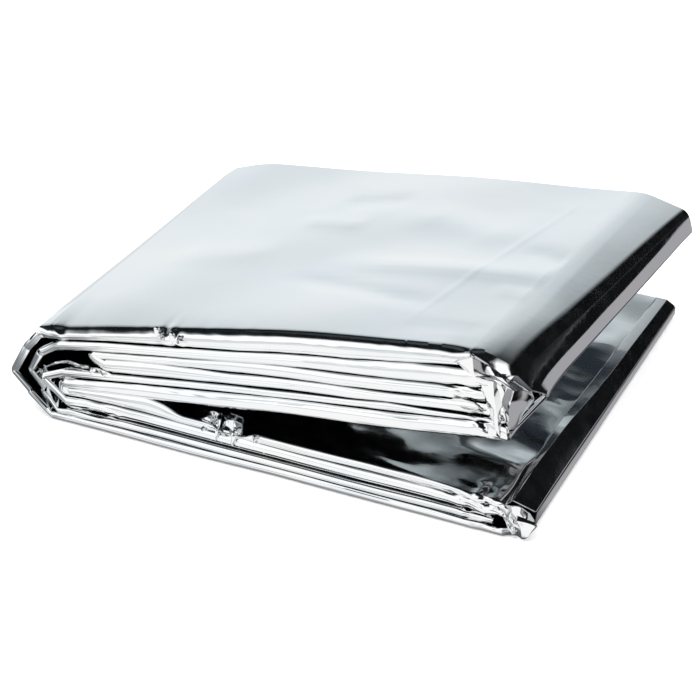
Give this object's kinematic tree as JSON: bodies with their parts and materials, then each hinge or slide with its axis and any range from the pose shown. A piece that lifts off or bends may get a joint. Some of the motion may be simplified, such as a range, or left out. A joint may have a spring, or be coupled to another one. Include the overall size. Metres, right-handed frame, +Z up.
{
  "type": "emergency foil blanket",
  "caption": "Silver emergency foil blanket, folded to a flat pocket-sized packet whose last fold has sprung half open like a book.",
  "frame": {"origin": "middle of the packet's footprint, on the surface it rests on", "axes": "+X from the hinge of the last fold towards the packet's open side, +Y from the front edge, where the plies show, to the back edge, +Z up"},
  "size_m": [0.1316, 0.1048, 0.0453],
  "materials": {
    "metallised_film": "mirror-bright vacuum-metallised film"
  },
  "bodies": {
    "root": {"foil_blanket": "metallised_film"}
  },
  "joints": []
}
